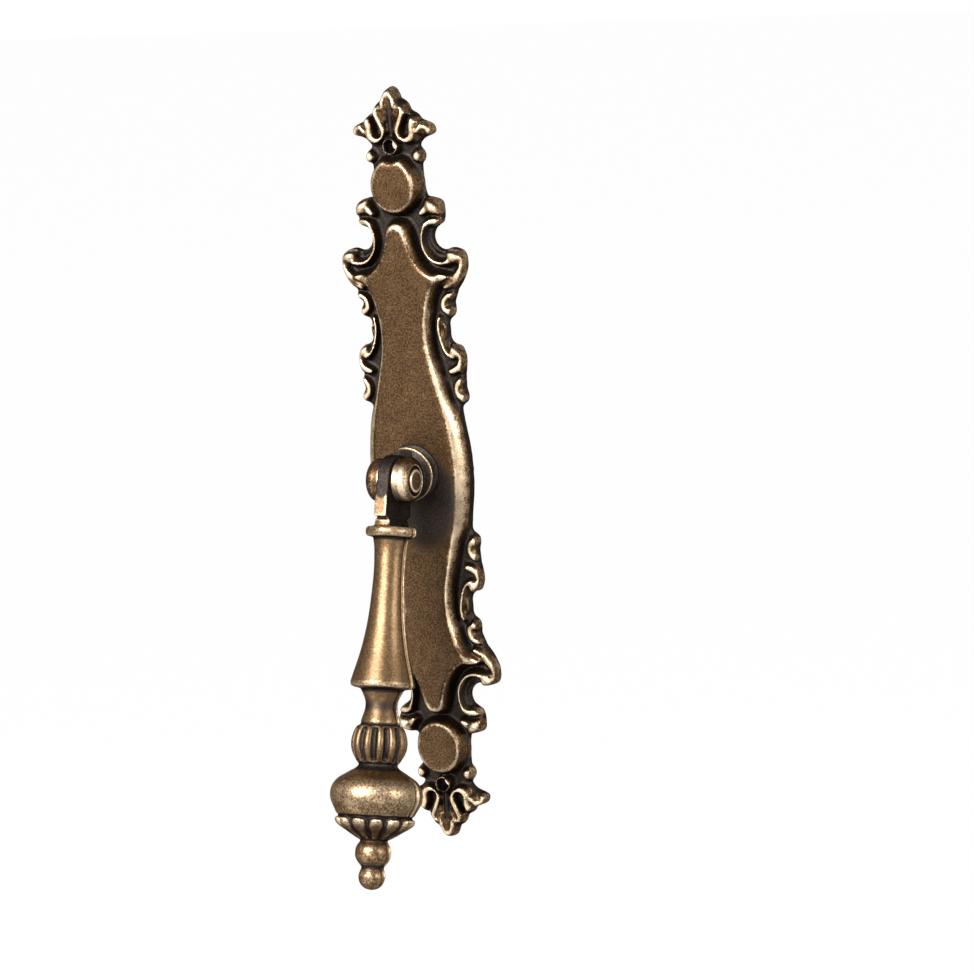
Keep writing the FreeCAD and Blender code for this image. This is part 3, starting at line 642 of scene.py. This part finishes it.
scale = np.maximum(new_radius, 0) / np.maximum(radius, 1e-6)
for vert, k in zip(turned.verts, scale):
    vert.co.x *= k
    vert.co.y *= k

hang = Matrix.Translation((0, -PIVOT_HEIGHT * MM, 0)) @ Matrix.Rotation(math.radians(-REST_SWING), 4, "X")
tongue = solid_of("drop_handle")
bmesh.ops.transform(tongue, matrix=hang.inverted(), verts=tongue.verts)
bmesh.ops.bisect_plane(tongue, geom=tongue.verts[:] + tongue.edges[:] + tongue.faces[:], dist=FINE_MERGE,
                       plane_co=(0, 0, -TONGUE_END * MM), plane_no=(0, 0, -1), clear_outer=True)
bmesh.ops.holes_fill(tongue, edges=[edge for edge in tongue.edges if edge.is_boundary], sides=0)
tongue_mesh = bpy.data.meshes.new("tongue")
tongue.to_mesh(tongue_mesh)
tongue.free()
turned.from_mesh(tongue_mesh)
drop = skin_of("cast_drop", turned, DROP_SKIN)
soften(drop, 2)

# Black lies in rings round the drop: start, blackest place, end and amount. The rings are patina in the
# necks and grooves, and partly painted shade under the overhangs and on the top of the bulb.
# Black patina also stays between the ribs and petals. The tongue is darker and its eye darker still, and
# the broad sides of the tongue carry painted shade with patina.
PATINA_AND_SHADE_BANDS = [(10.9, 11.2, 12.4, 0.7), (40.2, 40.7, 42.0, 0.8), (41.0, 44.0, 47.6, 0.75),
               (46.6, 47.5, 48.6, 0.8), (53.6, 55.3, 57.6, 1.0), (64.0, 65.2, 65.9, 1.0),
               (66.4, 68.2, 70.6, 1.0), (74.0, 75.0, 76.0, 0.8)]
DEEP_GOLD = (0.070, 0.040, 0.018, 1)
GOLD = (0.152, 0.093, 0.046, 1)
near, middle, far = sunk(drop, (6, 30, 160))
x, y, z = points_of(drop).T
distance = -z
share = rib_share(np.arctan2(x, -y))
on_eye = eased(distance, 4.6, 2.0)
on_tongue = eased(distance, 9.0, 8.6)
# Painted shade, with patina on the unpolished faces: the broad sides of the tongue.
shaded_tongue_side = eased(distance, 9.2, 8.9) * eased(np.abs(normals_of(drop)[:, 0]), 0.6, 0.8)
on_ball = eased(distance, 47.4, 48.2) * eased(distance, 55.0, 54.2)
on_bulb = eased(distance, 57.5, 59.5) * eased(distance, 65, 64)
on_cup = eased(distance, 65.0, 65.6) * eased(distance, 70.2, 69.4)
grime_and_shade = np.clip(middle * 4.0, -0.5, 1.2) + np.clip(far * 1.3, -0.3, 0.8)
grime_and_shade += 1.5 * on_eye + 0.55 * on_tongue + 0.9 * shaded_tongue_side
# Rings of patina, with painted shade under the overhangs.
for start, full, end, amount in PATINA_AND_SHADE_BANDS:
    grime_and_shade += amount * np.where(distance < full, eased(distance, start, full), eased(distance, end, full))
grime_and_shade += on_ball * eased(np.abs(share), 0.07, 0.25) + on_cup * eased(np.abs(share), 0.25, 0.42)
wear_and_highlight = np.clip(-near * 8, 0, 0.9) + np.clip(-middle * 1.5, -0.3, 0.6) + 0.25 * on_bulb - 0.3 * on_ball
note(drop, "grime_and_shade", grime_and_shade)
note(drop, "wear_and_highlight", wear_and_highlight)
drop.data.transform(hang)
finish_piece(drop, "drop", "drop_handle", "drop_bronze", browns=(DEEP_GOLD, GOLD))

# Floor and backdrop: a plain pale table top well below the hanging pull, white to the camera.
# It is matt paper, and takes the shadow of the pull.
FLOOR_DROP = 0.35
FLOOR_SIZE = 8
FLOOR_SEEN = 0.97
WHITE = (1, 1, 1, 1)
PALE = (0.8, 0.8, 0.8, 1)


def seen_white(start):
    """1 for rays from the camera and for those that metal or glass sends on, and 0 for the rest."""
    rays = [start.node("ShaderNodeLightPath", {}, output=ray)
            for ray in ("Is Camera Ray", "Is Glossy Ray", "Is Transmission Ray")]
    return rays[0] + rays[1] + rays[2]


bpy.ops.mesh.primitive_plane_add(size=FLOOR_SIZE, location=(0, 0, -FLOOR_DROP))
floor = bpy.context.object
floor.name = "floor"
paper = bpy.data.materials.new("paper")
paper.use_nodes = True
paper_tree = paper.node_tree
paper_start = Tone(paper_tree)
white_light = paper_start.node("ShaderNodeEmission", {"Color": WHITE, "Strength": 1.0})
matt = paper_start.node("ShaderNodeBsdfDiffuse", {"Color": PALE})
sheet = paper_start.node("ShaderNodeMixShader",
                         {0: seen_white(paper_start) * FLOOR_SEEN, 1: matt, 2: white_light})
paper_tree.links.new(sheet.socket, paper_tree.nodes["Material Output"].inputs["Surface"])
floor.data.materials.append(paper)

# Light: one large soft box high in front of the pull, and an even pale surround.
# Three small weak ones pick out the right side and the undersides.
SURROUND_LIGHT = 0.6
SURROUND_SEEN = 1.0
world = bpy.data.worlds.new("surround")
bpy.context.scene.world = world
world.use_nodes = True
world_tree = world.node_tree
strength = seen_white(Tone(world_tree)).ramp(0, 1, SURROUND_LIGHT, SURROUND_SEEN)
backdrop = world_tree.nodes["Background"]
backdrop.inputs["Color"].default_value = WHITE
world_tree.links.new(strength.socket, backdrop.inputs["Strength"])


def outwards(azimuth, elevation):
    """Direction from the pull, to its right by the azimuth and up by the elevation, in radians."""
    return Vector((math.sin(azimuth) * math.cos(elevation), -math.cos(azimuth) * math.cos(elevation),
                   math.sin(elevation)))


def soft_box(name, azimuth, elevation, distance, size, power):
    """A square lamp aimed at the middle of the pull, placed by degrees and metres."""
    lamp = bpy.data.lights.new(name, "AREA")
    lamp.size = size
    lamp.energy = power
    holder = bpy.data.objects.new(name, lamp)
    bpy.context.scene.collection.objects.link(holder)
    away = outwards(math.radians(azimuth), math.radians(elevation))
    holder.location = away * distance
    holder.visible_camera = False
    holder.rotation_mode = "QUATERNION"
    holder.rotation_quaternion = away.to_track_quat("Z", "Y")


soft_box("key", azimuth=-8, elevation=30, distance=1.4, size=0.85, power=66)
soft_box("side", azimuth=80, elevation=12, distance=0.9, size=0.35, power=6)
soft_box("low", azimuth=26, elevation=-18, distance=0.75, size=0.2, power=1.0)
soft_box("far_side", azimuth=-36, elevation=-32, distance=0.5, size=0.25, power=0.45)

# Camera: the viewpoint of the photograph, to the right of the plate's front and a little above it.
# It is rolled a little, and shifted so that the pull stands left of the middle.
AZIMUTH = math.radians(28.08)
ELEVATION = math.radians(11.26)
ROLL = math.radians(4.73)
DISTANCE = 0.86
LENS = 161.5
SENSOR = 36
SHIFT_X = 0.0647
SHIFT_Y = -0.0207
NEAREST = 0.01
eye = bpy.data.cameras.new("camera")
eye.lens = LENS
eye.sensor_width = SENSOR
eye.shift_x = SHIFT_X
eye.shift_y = SHIFT_Y
eye.clip_start = NEAREST
camera = bpy.data.objects.new("camera", eye)
bpy.context.scene.collection.objects.link(camera)
back = outwards(AZIMUTH, ELEVATION)
right = Vector((math.cos(AZIMUTH), math.sin(AZIMUTH), 0))
up = back.cross(right)
turned_right = right * math.cos(ROLL) - up * math.sin(ROLL)
turned_up = right * math.sin(ROLL) + up * math.cos(ROLL)
camera.matrix_world = (Matrix.Translation(back * DISTANCE)
                       @ Matrix((turned_right, turned_up, back)).transposed().to_4x4())
bpy.context.scene.camera = camera

bpy.context.scene.view_settings.view_transform = "Standard"
